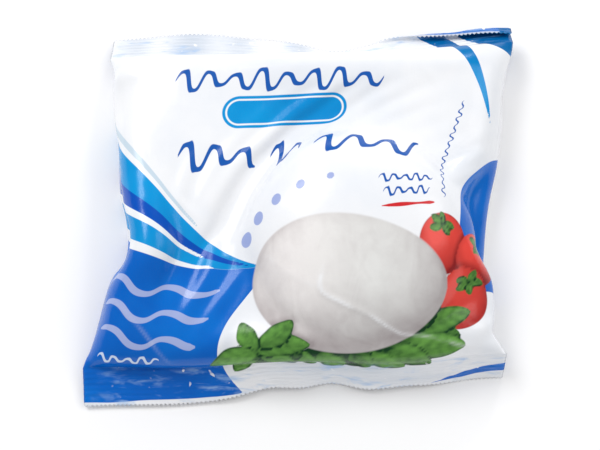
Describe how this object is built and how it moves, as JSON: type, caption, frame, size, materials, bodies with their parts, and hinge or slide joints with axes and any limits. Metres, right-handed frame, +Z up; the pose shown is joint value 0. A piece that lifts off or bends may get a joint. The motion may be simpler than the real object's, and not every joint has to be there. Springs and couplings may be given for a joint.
{
  "type": "mozzarella pouch",
  "caption": "Sealed pillow pouch of printed film holding a soft mozzarella ball in brine, with flat crimped end seals, lying on its back.",
  "frame": {"origin": "on the surface that the pouch lies on, below the middle of its outline", "axes": "the pouch lies on its back with the printed side up along +Z; +X runs to the right of the printed side; +Y runs towards the top seal"},
  "size_m": [0.142, 0.1294, 0.0345],
  "materials": {
    "film": "semi-gloss laminated film, white, printed with blue fields and a soft picture of the contents"
  },
  "bodies": {
    "root": {"pouch": "film"}
  },
  "joints": []
}
